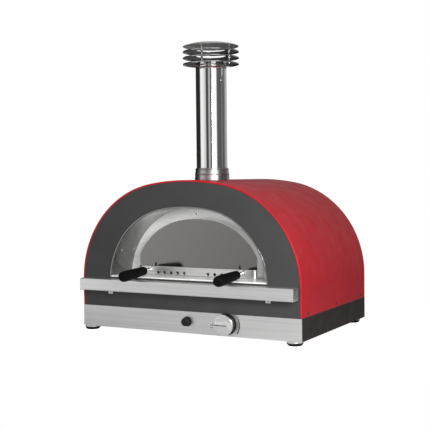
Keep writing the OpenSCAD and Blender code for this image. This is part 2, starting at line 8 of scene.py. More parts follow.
import bpy
import numpy as np
from mathutils import Matrix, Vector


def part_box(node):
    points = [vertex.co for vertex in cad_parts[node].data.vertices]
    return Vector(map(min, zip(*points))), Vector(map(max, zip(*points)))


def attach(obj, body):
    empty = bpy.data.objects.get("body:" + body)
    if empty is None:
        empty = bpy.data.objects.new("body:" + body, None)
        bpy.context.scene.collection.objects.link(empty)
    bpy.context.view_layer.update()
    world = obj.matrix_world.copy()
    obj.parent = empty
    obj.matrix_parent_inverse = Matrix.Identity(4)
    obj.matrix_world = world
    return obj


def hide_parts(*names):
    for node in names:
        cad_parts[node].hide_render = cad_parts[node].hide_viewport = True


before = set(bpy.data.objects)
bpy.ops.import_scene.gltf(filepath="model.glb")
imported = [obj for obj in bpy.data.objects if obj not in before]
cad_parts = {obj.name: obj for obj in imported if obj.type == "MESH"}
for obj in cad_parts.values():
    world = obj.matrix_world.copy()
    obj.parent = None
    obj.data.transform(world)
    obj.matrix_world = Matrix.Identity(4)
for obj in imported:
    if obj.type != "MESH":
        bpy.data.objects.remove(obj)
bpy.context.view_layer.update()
collection = bpy.context.scene.collection


# ---------------------------------------------------------------- places and sizes

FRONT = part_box("outer_shell")[0].y * 1000
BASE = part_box("base_front_panel")[0].z * 1000


def extent(node):
    """Lowest and highest corner of a CAD node in the oven's axes, in millimetres."""
    low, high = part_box(node)
    shift = np.array([0.0, FRONT, BASE])
    return np.array(low) * 1000 - shift, np.array(high) * 1000 - shift


SHELL_LOW, SHELL_HIGH = extent("outer_shell")
BODY_W = SHELL_HIGH[0] - SHELL_LOW[0]
BODY_D = SHELL_HIGH[1]
BASE_H = SHELL_LOW[2]
CROWN = SHELL_HIGH[2]
# thickness of the outer sheets and of the liners, and the depth of a turned edge
SHEET = 1.5
LINER = 1.2
HEM = 5.0

# half width at the springing, crown height, crown radius, shoulder radius
CASING_ARCH = (BODY_W / 2, CROWN, 730.0, 316.0)
MOUTH_ARCH = (284.0, 393.0, 508.0, 239.0)
FLUE_R = 50.0
FLUE_Y = extent("flue_pipe")[0][1] + FLUE_R


# ---------------------------------------------------------------- camera

def add_camera():
    """A long lens to the oven's right, a little above the crown of its casing and aimed slightly down."""
    yaw, pitch, roll = math.radians(28.608), math.radians(2.3245), math.radians(-0.6235)
    ahead = np.array([-math.sin(yaw) * math.cos(pitch), math.cos(yaw) * math.cos(pitch), -math.sin(pitch)])
    right = np.array([math.cos(yaw), math.sin(yaw), 0.0])
    up = np.cross(right, ahead)
    side = math.cos(roll) * right + math.sin(roll) * up
    top = -math.sin(roll) * right + math.cos(roll) * up
    place = np.array([1442.0, -2447.6 + FRONT, 481.3 + BASE]) / 1000
    data = bpy.data.cameras.new("camera")
    data.lens = 77.03
    data.sensor_width = 36.0
    data.clip_start, data.clip_end = 0.05, 60.0
    camera = bpy.data.objects.new("camera", data)
    columns = [list(side) + [0], list(top) + [0], list(-ahead) + [0], list(place) + [1]]
    camera.matrix_world = Matrix(np.array(columns).T.tolist())
    collection.objects.link(camera)
    bpy.context.scene.camera = camera


add_camera()


# ---------------------------------------------------------------- outlines and paths

def corners(points, radius, steps=4):
    """An open line through points whose inner corners are rounded: each corner is cut back along both runs by
    the tangent length and filled with an arc of the radius, given once or per corner. A point just outside
    each end of an arc keeps the long runs beside it flat when they are shaded smooth."""
    points = np.array(points, float)
    radii = np.broadcast_to(radius, len(points) - 2)
    line = [points[:1]]
    for k in range(1, len(points) - 1):
        into, out = points[k] - points[k - 1], points[k + 1] - points[k]
        run_in, run_out = np.linalg.norm(into), np.linalg.norm(out)
        into, out = into / run_in, out / run_out
        turn = math.atan2(into[0] * out[1] - into[1] * out[0], into @ out)
        if radii[k - 1] <= 0 or abs(turn) < 1e-3:
            line.append(points[k:k + 1])
            continue
        cut = radii[k - 1] * math.tan(abs(turn) / 2)
        hold = 0.35 * cut + 0.12
        normal = np.array([-into[1], into[0]]) * np.sign(turn)
        t = np.linspace(0, abs(turn), steps + 1)[:, None]
        if run_in > 2.2 * (cut + hold):
            line.append((points[k] - into * (cut + hold))[None])
        line.append(points[k] - into * cut + radii[k - 1] * (np.sin(t) * into + (1 - np.cos(t)) * normal))
        if run_out > 2.2 * (cut + hold):
            line.append((points[k] + out * (cut + hold))[None])
    line.append(points[-1:])
    return np.concatenate(line)


def offset_line(line, distance):
    """The line moved to its left by a distance, each point along the mean normal of its two runs."""
    run = np.diff(line, axis=0)
    run /= np.linalg.norm(run, axis=1)[:, None]
    normal = np.stack([-run[:, 1], run[:, 0]], 1)
    before = np.concatenate([normal[:1], normal])
    after = np.concatenate([normal, normal[-1:]])
    mean = before + after
    return line + distance * 2 * mean / (mean * mean).sum(1)[:, None]


def thick(line, t):
    """Closed section of a folded sheet: the line, and back along the line moved left by t."""
    return np.concatenate([line, offset_line(line, t)[::-1]])


def shoulder(arch):
    """Angle from an arch's crown to where the shoulder arc takes over, and x and z of the right shoulder
    arc's centre. The centre lies on the crown arc's radius at that angle, so the two arcs meet smoothly."""
    half_w, crown, crown_r, side_r = arch
    reach = crown_r - side_r
    turn = math.asin((half_w - side_r) / reach)
    return turn, reach * math.sin(turn), crown - crown_r + reach * math.cos(turn)


def arch_at(arch, s):
    """Point and outward normal of an arch at distance s from its crown, right side positive: a crown arc,
    then a shoulder arc, then a straight leg."""
    crown, crown_r, side_r = arch[1:]
    turn, cx, cz = shoulder(arch)
    side = np.where(s < 0, -1.0, 1.0)
    s = np.abs(s)
    crown_l = crown_r * turn
    side_l = side_r * (math.pi / 2 - turn)
    on_crown = s < crown_l
    angle = np.where(on_crown, s / crown_r, turn + np.clip(s - crown_l, 0, side_l) / side_r)
    x = np.where(on_crown, crown_r * np.sin(angle), cx + side_r * np.sin(angle))
    z = np.where(on_crown, crown - crown_r + crown_r * np.cos(angle), cz + side_r * np.cos(angle))
    z = z - np.clip(s - crown_l - side_l, 0, None)
    return x * side, z, np.sin(angle) * side, np.cos(angle)


def arch_length(arch, foot):
    """Distance along an arch from its crown to the foot of a leg: both arcs, and the leg's drop from the
    shoulder arc's centre height to the foot."""
    turn, _, springing = shoulder(arch)
    crown_r, side_r = arch[2:]
    return crown_r * turn + side_r * (math.pi / 2 - turn) + springing - foot


# ---------------------------------------------------------------- meshes

# degrees between two faces past which their edge is sharp
CREASE = 35.0
# half size of the inner square whose edge becomes a hole's circle, as a part of the whole square's
INNER = 0.5


def cells(nu, nv, wrap_u=False, wrap_v=False):
    """Corner numbers of the cells of an nu by nv grid, wrapped round where asked."""
    rows, columns = (nu if wrap_u else nu - 1), (nv if wrap_v else nv - 1)
    i, j = np.meshgrid(np.arange(rows), np.arange(columns), indexing="ij")
    k, m = (i + 1) % nu, (j + 1) % nv
    return np.stack([i * nv + j, k * nv + j, k * nv + m, i * nv + m], -1).reshape(-1, 4)


def volume(verts, faces):
    """Signed volume within closed faces: each face is fanned into triangles joined to the origin."""
    total = 0.0
    for f in faces:
        p = verts[np.atleast_2d(f)]
        for k in range(1, p.shape[1] - 1):
            total += np.einsum("ij,ij->", p[:, 0], np.cross(p[:, k], p[:, k + 1]))
    return total


def outwardness(verts, quads, inside):
    """How far the quads' normals point away from the point inside, summed over their area."""
    p = verts[quads]
    normal = np.cross(p[:, 2] - p[:, 0], p[:, 3] - p[:, 1])
    return np.einsum("ij,ij->", normal, p.mean(1) - np.array(inside, float))


def make(name, verts, quads, material, body, replaced=(), caps=(), inside=None, wall=0.0, bevel=0.0,
         steps=2, crease=CREASE):
    """Puts grid points in millimetres into one piece of the frame. Faces are turned to point outwards: by the
    sign of the volume on a closed piece, or away from a point inside an open skin, which a Solidify wall
    then closes."""
    verts = np.asarray(verts, float).reshape(-1, 3)
    quads = np.asarray(quads)
    caps = [np.asarray(c) for c in caps]
    if inside is None:
        inside_out = volume(verts, [quads, *caps]) < 0
    else:
        inside_out = outwardness(verts, quads, inside) < 0
    if inside_out:
        quads = quads[:, ::-1]
        caps = [c[::-1] for c in caps]
    used, index = np.unique(np.concatenate([quads.ravel(), *caps]), return_inverse=True)
    index = index.reshape(-1)
    faces = index[:quads.size].reshape(-1, 4).tolist()
    at = quads.size
    for c in caps:
        faces.append(index[at:at + c.size].tolist())
        at += c.size
    place = (verts[used] + np.array([0.0, FRONT, BASE])) / 1000
    mesh = bpy.data.meshes.new(name)
    mesh.from_pydata(place.tolist(), [], faces)
    mesh.validate()
    mesh.materials.append(material)
    mesh.polygons.foreach_set("use_smooth", np.full(len(mesh.polygons), True))
    mesh.set_sharp_from_angle(angle=math.radians(crease))
    piece = bpy.data.objects.new(name, mesh)
    collection.objects.link(piece)
    if wall:
        solid = piece.modifiers.new("wall", "SOLIDIFY")
        solid.thickness = wall / 1000
        solid.offset = -1.0
        solid.use_even_offset = True
    if bevel:
        add_bevel(piece, bevel, steps)
    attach(piece, body)
    if replaced:
        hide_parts(*replaced)


def add_bevel(piece, width, steps=2):
    """Rounds every sharp edge by a width in millimetres."""
    bevel = piece.modifiers.new("edges", "BEVEL")
    bevel.width = width / 1000
    bevel.segments = steps
    bevel.limit_method = "ANGLE"
    bevel.angle_limit = math.radians(CREASE)
    bevel.harden_normals = True


def dress(node, material, bevel=0.0):
    """Gives a CAD node its finish, and rounds its edges with modifiers that leave its mesh alone."""
    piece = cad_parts[node]
    piece.data.materials.clear()
    piece.data.materials.append(material)
    if bevel:
        weld = piece.modifiers.new("weld", "WELD")
        weld.merge_threshold = 1e-6
        add_bevel(piece, bevel)


def drop(quads, gone):
    """The quads that have a corner outside the marked points."""
    return quads[~gone.ravel()[quads].all(1)]


def punch(u, v, centre, radius, half):
    """Opens a round hole in a grid. Points in the square of the given half size are drawn along straight
    lines from the square's edge to the circle: the inner square's edge lands on the circle, and what is
    inside it is marked as gone."""
    a, b = (u - centre[0]) / half, (v - centre[1]) / half
    m = np.maximum(np.abs(a), np.abs(b))
    ring = (m <= 1 + 1e-6) & (m >= INNER - 1e-6)
    m_safe = np.maximum(m, 1e-9)
    da, db = a / m_safe, b / m_safe
    length = np.sqrt(da * da + db * db) + 1e-12
    t = np.clip((m - INNER) / (1 - INNER), 0, 1)
    pu = (1 - t) * radius / half * da / length + t * da
    pv = (1 - t) * radius / half * db / length + t * db
    u = np.where(ring, centre[0] + half * pu, u)
    v = np.where(ring, centre[1] + half * pv, v)
    return u, v, m <= INNER + 1e-6


def hole_lines(centre, half, across, margin):
    """Grid lines through a hole's square: even across the inner square, and a few in the margin each side."""
    core = np.linspace(-INNER, INNER, across + 1)
    edge = np.linspace(INNER, 1, margin + 1)[1:]
    return centre + half * np.concatenate([-edge[::-1], core, edge])


def fill_lines(low, high, fixed, step):
    """Grid lines from low to high that keep the fixed ones and fill the rest at about the step."""
    lines = np.unique(np.round(np.concatenate([[low, high], fixed]), 5))
    parts = []
    for a, b in zip(lines[:-1], lines[1:]):
        n = max(1, int(round((b - a) / step))) if b - a > step * 1.3 else 1
        parts.append(np.linspace(a, b, n + 1)[:-1])
    return np.concatenate([*parts, [high]])


def lathe(name, profile, material, body, centre, axis=(0, 0, 1), sides=96, replaced=(), ring=False):
    """A profile of (radius, height) turned about an axis. A ring's profile is a closed loop; any other is an
    open line whose two ends are closed with flat caps."""
    part = ring_part if ring else turned_part
    verts, quads, caps = part(profile, centre, axis, sides)
    make(name, verts, quads, material, body, replaced, caps)


def turned_points(profile, centre, axis, sides):
    """Points of a turned profile: radius along two directions square to the axis, height along it."""
    axis = np.array(axis, float) / np.linalg.norm(axis)
    first = np.cross(axis, [1.0, 0, 0] if abs(axis[0]) < 0.9 else [0, 1.0, 0])
    first /= np.linalg.norm(first)
    second = np.cross(axis, first)
    t = np.linspace(0, 2 * np.pi, sides, endpoint=False)[:, None, None]
    r, h = profile[None, :, 0, None], profile[None, :, 1, None]
    return np.array(centre, float) + r * (np.cos(t) * first + np.sin(t) * second) + h * axis


def several(name, parts, material, body, replaced=(), bevel=0.0, crease=CREASE, steps=2):
    """One piece from several closed grids, each a (points, quads, caps)."""
    verts, quads, caps, at = [], [], [], 0
    for points, q, c in parts:
        points = np.asarray(points, float).reshape(-1, 3)
        c = [np.asarray(k) for k in c]
        if volume(points, [q, *c]) < 0:
            q, c = q[:, ::-1], [k[::-1] for k in c]
        verts.append(points)
        quads.append(q + at)
        caps += [k + at for k in c]
        at += len(points)
    make(name, np.concatenate(verts), np.concatenate(quads), material, body, replaced, caps,
         bevel=bevel, crease=crease, steps=steps)


def turned_part(profile, centre, axis=(0, 0, 1), sides=32):
    """An open line of (radius, height) turned about an axis: points, quads and the two flat caps."""
    n = len(profile)
    ends = np.arange(sides) * n
    points = turned_points(np.asarray(profile, float), centre, axis, sides)
    return points, cells(sides, n, True, False), [ends[::-1], ends + n - 1]


def ring_part(loop, centre, axis=(0, 0, 1), sides=64):
    """A closed loop of (radius, height) turned about an axis: points and quads, with no caps."""
    points = turned_points(np.asarray(loop, float), centre, axis, sides)
    return points, cells(sides, len(loop), True, True), []


def run_part(section, x0, x1, divisions=1):
    """A closed (y, z) section carried straight from x0 to x1: points, quads and the two end caps."""
    section = np.asarray(section, float)
    n = len(section)
    x = np.linspace(x0, x1, divisions + 1)
    points = np.empty((divisions + 1, n, 3))
    points[..., 0] = x[:, None]
    points[..., 1:] = section[None]
    return points, cells(divisions + 1, n, False, True), [np.arange(n)[::-1], np.arange(n) + divisions * n]


def block_part(low, high):
    """A box between two corners, as a rectangle carried along x."""
    (x0, y0, z0), (x1, y1, z1) = low, high
    return run_part([(y0, z0), (y1, z0), (y1, z1), (y0, z1)], x0, x1)


def arch_part(arch, foot, section, step):
    """A closed (outward, y) section carried over an arch from one foot to the other: each grid row lies in
    the plane of the arch's normal and the y axis."""
    length = arch_length(arch, foot)
    s = np.linspace(-length, length, int(2 * length / step) + 1)
    x, z, nx, nz = arch_at(arch, s)
    section = np.asarray(section, float)
    o, y = section[None, :, 0], section[None, :, 1]
    points = np.stack([x[:, None] + nx[:, None] * o, np.broadcast_to(y, (len(s), len(section))),
                       z[:, None] + nz[:, None] * o], -1)
    n = len(section)
    return points, cells(len(s), n, False, True), [np.arange(n)[::-1], np.arange(n) + (len(s) - 1) * n]


# ---------------------------------------------------------------- finishes

class Finish:
    """A material's node tree with short ways to add the nodes that the finishes share."""

    def __init__(self, name, colour, metallic, roughness, **sockets):
        """Starts a material from its shader's plain values. Sockets are given with _ for a space."""
        self.material = bpy.data.materials.new(name)
        self.material.use_nodes = True
        self.nodes = self.material.node_tree.nodes
        self.links = self.material.node_tree.links
        self.shader = self.nodes["Principled BSDF"]
        self.shader.inputs["Base Color"].default_value = (*colour, 1)
        self.shader.inputs["Metallic"].default_value = metallic
        self.shader.inputs["Roughness"].default_value = roughness
        for socket, value in sockets.items():
            self.shader.inputs[socket.replace("_", " ")].default_value = value
        self.coords = self.nodes.new("ShaderNodeTexCoord")
        self.last_bump = None
        self.material.diffuse_color = (*colour, 1)

    def noise(self, scale, stretch=(1, 1, 1), detail=3.0, rough=0.5, distortion=0.0):
        """Noise on the object's own coordinates, in cycles per metre, drawn out along an axis by a small
        stretch."""
        mapping = self.nodes.new("ShaderNodeMapping")
        mapping.inputs["Scale"].default_value = stretch
        self.links.new(self.coords.outputs["Object"], mapping.inputs["Vector"])
        noise = self.nodes.new("ShaderNodeTexNoise")
        noise.inputs["Scale"].default_value = scale
        noise.inputs["Detail"].default_value = detail
        noise.inputs["Roughness"].default_value = rough
        noise.inputs["Distortion"].default_value = distortion
        self.links.new(mapping.outputs["Vector"], noise.inputs["Vector"])
        return noise.outputs["Fac"]

    def remap(self, value, low, high, to_low, to_high):
        """A value's low..high carried to to_low..to_high, clamped."""
        node = self.nodes.new("ShaderNodeMapRange")
        for socket, number in zip(("From Min", "From Max", "To Min", "To Max"), (low, high, to_low, to_high)):
            node.inputs[socket].default_value = number
        self.links.new(value, node.inputs["Value"])
        return node.outputs["Result"]

    def math(self, operation, a, b):
        """Arithmetic on two values, each a socket or a number."""
        node = self.nodes.new("ShaderNodeMath")
        node.operation = operation
        for socket, value in zip(node.inputs, (a, b)):
            if isinstance(value, (int, float)):
                socket.default_value = value
            else:
                self.links.new(value, socket)
        return node.outputs["Value"]

    def tint(self, factor, colour_a, colour_b):
        """Base colour that runs from colour_a to colour_b with a factor."""
        mix = self.nodes.new("ShaderNodeMix")
        mix.data_type = "RGBA"
        mix.inputs["A"].default_value = (*colour_a, 1)
        mix.inputs["B"].default_value = (*colour_b, 1)
        self.links.new(factor, mix.inputs["Factor"])
        self.links.new(mix.outputs["Result"], self.shader.inputs["Base Color"])

    def roughness(self, value):
        """Drives the roughness with a value."""
        self.links.new(value, self.shader.inputs["Roughness"])

    def bump(self, height, distance):
        """Adds a bump of a distance in millimetres on top of those before it."""
        node = self.nodes.new("ShaderNodeBump")
        node.inputs["Distance"].default_value = distance / 1000
        node.inputs["Strength"].default_value = 1.0
        self.links.new(height, node.inputs["Height"])
        if self.last_bump:
            self.links.new(self.last_bump, node.inputs["Normal"])
        self.last_bump = node.outputs["Normal"]
        self.links.new(self.last_bump, self.shader.inputs["Normal"])


def scaled(colour, k):
    """A colour made lighter or darker by a factor."""
    return tuple(min(1.0, c * k) for c in colour)


def powder_coat(name, colour, roughness, peel=0.012):
    """Baked powder coat: a fine orange peel, a slight drift of gloss and faint dust in the colour."""
    f = Finish(name, colour, 0.0, roughness, Specular_IOR_Level=0.3)
    f.tint(f.remap(f.noise(9, detail=4), 0.3, 0.7, 0, 1), scaled(colour, 0.93), scaled(colour, 1.06))
    f.roughness(f.remap(f.noise(26, detail=3), 0.3, 0.7, roughness * 0.9, roughness * 1.12))
    f.bump(f.noise(620, detail=2), peel)
    return f.material


def brushed(name, colour, roughness, axis=0, grain=0.006, metal=1.0):
    """Brushed stainless sheet: long fine scratches along one axis in bump, gloss and tone. With metal below 1
    the sheet is partly matt."""
    stretch = [1.0, 1.0, 1.0]
    stretch[axis] = 0.012
    f = Finish(name, colour, metal, roughness)
    streak = f.noise(1500, tuple(stretch), detail=2)
    broad = f.noise(190, tuple(stretch), detail=2)
    f.tint(f.remap(broad, 0.3, 0.7, 0, 1), scaled(colour, 0.94), scaled(colour, 1.05))
    f.roughness(f.math("ADD", f.remap(streak, 0.3, 0.7, roughness - 0.05, roughness + 0.06),
                       f.remap(f.noise(7), 0.3, 0.7, -0.02, 0.03)))
    f.bump(streak, grain)
    return f.material


def polished(name, colour, roughness=0.08, wave=0.05):
    """Mirror-polished stainless: faint wipe marks in the gloss and a slow ripple of the sheet."""
    f = Finish(name, colour, 1.0, roughness)
    smudge = f.noise(34, detail=5, rough=0.6)
    f.roughness(f.remap(smudge, 0.35, 0.75, roughness * 0.75, roughness * 1.6))
    f.bump(f.noise(11, detail=1), wave)
    return f.material


def moulded(name, colour, roughness=0.45, grain=0.02, shine=0.25):
    """Moulded plastic or rubber with a fine spark-eroded grain."""
    f = Finish(name, colour, 0.0, roughness, Specular_IOR_Level=shine)
    f.roughness(f.remap(f.noise(70, detail=3), 0.3, 0.7, roughness * 0.88, roughness * 1.15))
    f.tint(f.noise(40), scaled(colour, 0.8), scaled(colour, 1.3))
    f.bump(f.noise(1900, detail=1), grain)
    return f.material


def stone(name, colour):
    """Fired clay tile: speckled, pitted and dusted."""
    f = Finish(name, colour, 0.0, 0.9)
    grit = f.math("MULTIPLY", f.noise(240, detail=5, rough=0.7), 0.6)
    cloud = f.math("MULTIPLY", f.noise(14), 0.4)
    speck = f.math("ADD", grit, cloud)
    f.tint(f.remap(speck, 0.36, 0.64, 0, 1), scaled(colour, 0.62), scaled(colour, 1.15))
    f.bump(f.noise(420, detail=4, rough=0.7), 0.12)
    return f.material


def fibre(name, colour):
    """Ceramic fibre blanket: matted, soft and uneven."""
    f = Finish(name, colour, 0.0, 0.95)
    tufts = f.remap(f.noise(60, detail=6, rough=0.7), 0.3, 0.7, 0, 1)
    f.tint(tufts, scaled(colour, 0.85), scaled(colour, 1.05))
    f.bump(f.noise(160, detail=6, rough=0.75, distortion=1.5), 1.2)
    return f.material


def drawn_metal(name, colour, roughness, axis):
    """Drawn or turned metal with a short grain along its axis and slight tarnish."""
    stretch = [1.0, 1.0, 1.0]
    stretch[axis] = 0.05
    f = Finish(name, colour, 1.0, roughness)
    f.tint(f.remap(f.noise(90, detail=4), 0.3, 0.75, 0, 1), scaled(colour, 1.08), scaled(colour, 0.72))
    f.bump(f.noise(1300, tuple(stretch), detail=2), 0.008)
    f.roughness(f.remap(f.noise(130), 0.3, 0.7, roughness * 0.85, roughness * 1.25))
    return f.material


RED = powder_coat("red_enamel", (0.50, 0.008, 0.018), 0.46)
GREY = powder_coat("grey_enamel", (0.045, 0.045, 0.0445), 0.62, peel=0.02)
BROWN = powder_coat("base_brown", (0.014, 0.011, 0.008), 0.5)
BRUSHED = brushed("brushed_steel", (0.84, 0.835, 0.83), 0.36, grain=0.003)
POLISHED = polished("polished_steel", (0.86, 0.86, 0.85))
SATIN = brushed("satin_steel", (0.84, 0.835, 0.82), 0.36, grain=0.003)
# polished steel darkened to under a third of the other polished parts: painted shade inside the mouth's
# tunnel
SHADED_TUNNEL_STEEL = polished("tunnel_steel_painted_shade", (0.26, 0.26, 0.255), 0.07, wave=0.02)
FLANGE = brushed("flange_steel", (0.95, 0.95, 0.94), 0.3, grain=0.001, metal=0.25)
COLLAR = polished("collar_steel", (0.42, 0.41, 0.405), 0.3, wave=0.3)
LID = brushed("lid_steel", (0.86, 0.86, 0.85), 0.42, grain=0.002)
# polished steel darkened below the other polished parts: painted shade of the cap rings' dark undersides
SHADED_RING_STEEL = polished("ring_steel_painted_shade", (0.60, 0.60, 0.60), 0.12, wave=0.12)
# polished steel darkened to under a third of the other polished parts: painted shade of the door deep in the
# mouth
SHADED_DOOR_STEEL = polished("door_mirror_steel", (0.245, 0.238, 0.230), 0.10, wave=0.012)
SLIDER = brushed("slider_steel", (0.11, 0.108, 0.105), 0.4)
CHAMBER = brushed("chamber_steel", (0.52, 0.51, 0.49), 0.3, axis=1)
ZINC = drawn_metal("zinc_steel", (0.55, 0.56, 0.57), 0.4, 2)
DARK_STEEL = moulded("dark_steel", (0.03, 0.03, 0.03), 0.4, 0.004)
STONE = stone("hearth_stone", (0.62, 0.50, 0.37))
FIBRE = fibre("insulation", (0.82, 0.81, 0.77))
CUP = brushed("foot_cup", (0.78, 0.77, 0.76), 0.3, axis=2)
RUBBER = moulded("foot_rubber", (0.006, 0.006, 0.006), 0.7, shine=0.1)
COPPER = drawn_metal("copper_pipe", (0.72, 0.36, 0.22), 0.28, 1)
BRASS = drawn_metal("brass", (0.74, 0.55, 0.24), 0.3, 1)
CERAMIC = moulded("ceramic_white", (0.85, 0.84, 0.8), 0.2, 0.002)
PLASTIC = moulded("black_plastic", (0.010, 0.010, 0.010), 0.42, 0.006)
CHROME = polished("knob_chrome", (0.92, 0.915, 0.91), 0.22, wave=0.01)
GRIP = moulded("black_grip", (0.003, 0.003, 0.003), 0.6, 0.02, shine=0.08)
INK = moulded("printed_ink", (0.012, 0.012, 0.012), 0.6, 0.002)


# ---------------------------------------------------------------- casing

# distance between grid lines over an arch and through its depth
ARCH_STEP = 7.0
DEPTH_STEP = 24.0


def flue_lines(centre, half):
    """Grid lines through the square of a flue hole."""
    return hole_lines(centre, half, 12, 4)


def arch_skin(name, arch, foot, section, radius, half, material, replaced, wall):
    """An arched sheet as an open skin with the flue's round hole in its crown: grid lines run over the arch
    and along the (outward, y) section, the hole is opened in (distance over the arch, depth), and a Solidify
    wall closes it."""
    length = arch_length(arch, foot)
    s = fill_lines(-length, length, flue_lines(0, half), ARCH_STEP)
    o, y = section[:, 0], section[:, 1]
    u, v = np.meshgrid(s, y, indexing="ij")
    u, v, gone = punch(u, v, (0, FLUE_Y), radius, half)
    x, z, nx, nz = arch_at(arch, u)
    points = np.stack([x + nx * o, v, z + nz * o], -1)
    make(name, points, drop(cells(*u.shape), gone), material, "oven", replaced,
         inside=(0, BODY_D / 2, foot), wall=wall)


# half size of the grid square round the casing's flue hole
CASING_SQUARE = 90.0


def casing_section():
    """Outer line of the casing sheet from the rear hem to the front hem, with grid lines through the flue."""
    fold, flat = 2.2, 10.0
    run = fill_lines(fold, BODY_D - fold, flue_lines(FLUE_Y, CASING_SQUARE), DEPTH_STEP)[::-1]
    rear = corners([(-HEM, BODY_D), (0, BODY_D), (0, BODY_D - flat)], fold, 5)[:-1]
    front = corners([(0, flat), (0, 0), (-HEM, 0)], fold, 5)[1:]
    middle = np.stack([np.zeros(len(run)), run], 1)
    return np.concatenate([rear, middle[1:-1], front])


arch_skin("outer_shell_skin", CASING_ARCH, BASE_H + 0.3, casing_section(), FLUE_R + 7, CASING_SQUARE, RED,
          ["outer_shell"], SHEET)
dress("front_panel", GREY, 0.3)
dress("rear_panel", GREY, 0.3)
dress("shell_rails", ZINC)


def screw_heads():
    """Low domed heads with a cross recess seen as a small ring, three on each flank of the casing."""
    low, high = extent("shell_screws")
    head_r, middle = 4.0, 276.0
    ys = (low[1] + head_r, middle, high[1] - head_r)
    z = (low[2] + high[2]) / 2
    head = [(3.9, 0.05), (3.9, 0.6), (3.3, 1.6), (2.2, 2.1), (1.5, 2.15), (1.2, 1.3), (0.2, 1.3)]
    return [turned_part(head, (side * BODY_W / 2, y, z), (side, 0, 0), 32) for side in (-1, 1) for y in ys]


several("shell_screw_heads", screw_heads(), DARK_STEEL, "oven", ["shell_screws"])
for fibre_node in ("chamber_insulation", "front_insulation", "floor_insulation", "door_insulation"):
    dress(fibre_node, FIBRE)


# ---------------------------------------------------------------- mouth and chamber

TUNNEL_D = extent("chamber_front_wall")[0][1]
TUNNEL_BACK = TUNNEL_D - 0.1
SILL = extent("mouth_floor")[1][2]
LIP_FOOT = extent("mouth_floor")[0][2]
LIP_Y = extent("mouth_floor")[0][1]


def mouth_tunnel():
    """Rolled lip and tunnel wall folded from one sheet, carried over the mouth's arch to the lip's foot."""
    line = corners([(0, SHEET), (0, LIP_Y), (-HEM, LIP_Y), (-HEM, TUNNEL_BACK)], [0.9, 1.2], 4)
    rows = 14
    deep = np.linspace(LIP_Y + 6, TUNNEL_BACK, rows)
    line = np.concatenate([line[:-1], np.stack([np.full(rows, -HEM), deep], 1)])
    points, quads, caps = arch_part(MOUTH_ARCH, LIP_FOOT, thick(line, -LINER), 5.0)
    make("mouth_tunnel_sheet", points, quads, SHADED_TUNNEL_STEEL, "oven", ["mouth_tunnel"], caps)


def mouth_floor():
    """Floor of the tunnel, its front edge folded down and back to close the lip along the foot."""
    half_w = extent("mouth_floor")[1][0]
    line = corners([(SHEET, LIP_FOOT), (LIP_Y, LIP_FOOT), (LIP_Y, SILL), (TUNNEL_BACK, SILL)], [0.9, 1.2], 4)
    several("mouth_floor_sheet", [run_part(thick(line, -LINER), -half_w, half_w, 4)], FLANGE, "oven",
            ["mouth_floor"])


mouth_tunnel()
mouth_floor()
dress("chamber_front_wall", FLANGE, 0.2)


def rivets():
    """Domed rivet heads: two in each flank of the tunnel and one over the chamber's opening."""
    dome = [(3.6, 0.0), (3.6, 0.5), (3.2, 1.2), (2.3, 1.75), (1.2, 2.0), (0.2, 2.05)]
    side_r = MOUTH_ARCH[3]
    cx, cz = shoulder(MOUTH_ARCH)[1:]
    flank, depths, over_mouth = math.radians(65), (32, 102), (-26, TUNNEL_D, 366)
    parts = []
    for side in (-1, 1):
        out = np.array([side * math.sin(flank), 0, math.cos(flank)])
        for y in depths:
            spot = np.array([side * cx, y, cz]) + out * (side_r - HEM)
            parts.append(turned_part(dome, spot, -out, 24))
    parts.append(turned_part(dome, over_mouth, (0, -1, 0), 24))
    return parts


several("tunnel_rivet_heads", rivets(), POLISHED, "oven", ["tunnel_rivets"])

DOME_LOW, DOME_HIGH = extent("inner_dome")


def dome():
    """The chamber's arched liner, with the flue's hole: the casing's arch moved inwards all round."""
    inset, square = BODY_W / 2 - DOME_HIGH[0], 57.0
    half_w, crown, crown_r, side_r = CASING_ARCH
    arch = (half_w - inset, crown - inset, crown_r - inset, side_r - inset)
    y = fill_lines(DOME_LOW[1], DOME_HIGH[1], flue_lines(FLUE_Y, square), DEPTH_STEP)
    arch_skin("inner_dome_skin", arch, DOME_LOW[2], np.stack([np.zeros(len(y)), y], 1), FLUE_R - 4, square,
              CHAMBER, ["inner_dome"], LINER)


dome()
dress("inner_rear_wall", CHAMBER)
dress("hearth_tray", CHAMBER)


def hearth_tiles():
    """Four clay tiles with softened edges."""
    low, high = extent("hearth_tiles")
    gap = 1.0
    w, d = (high[0] - low[0] - gap) / 2, (high[1] - low[1] - gap) / 2
    parts = []
    for i in (0, 1):
        for j in (0, 1):
            x, y = low[0] + i * (w + gap), low[1] + j * (d + gap)
            parts.append(block_part((x, y, low[2]), (x + w, y + d, high[2])))
    return parts


several("hearth_tile_set", hearth_tiles(), STONE, "oven", ["hearth_tiles"], bevel=1.6,
        steps=3)


# ---------------------------------------------------------------- base

dress("base_front_panel", BRUSHED, 0.35)
dress("base_sides", BROWN, 0.4)
dress("base_rear_panel", BROWN, 0.3)
dress("base_floor", ZINC)
dress("base_deck", ZINC)


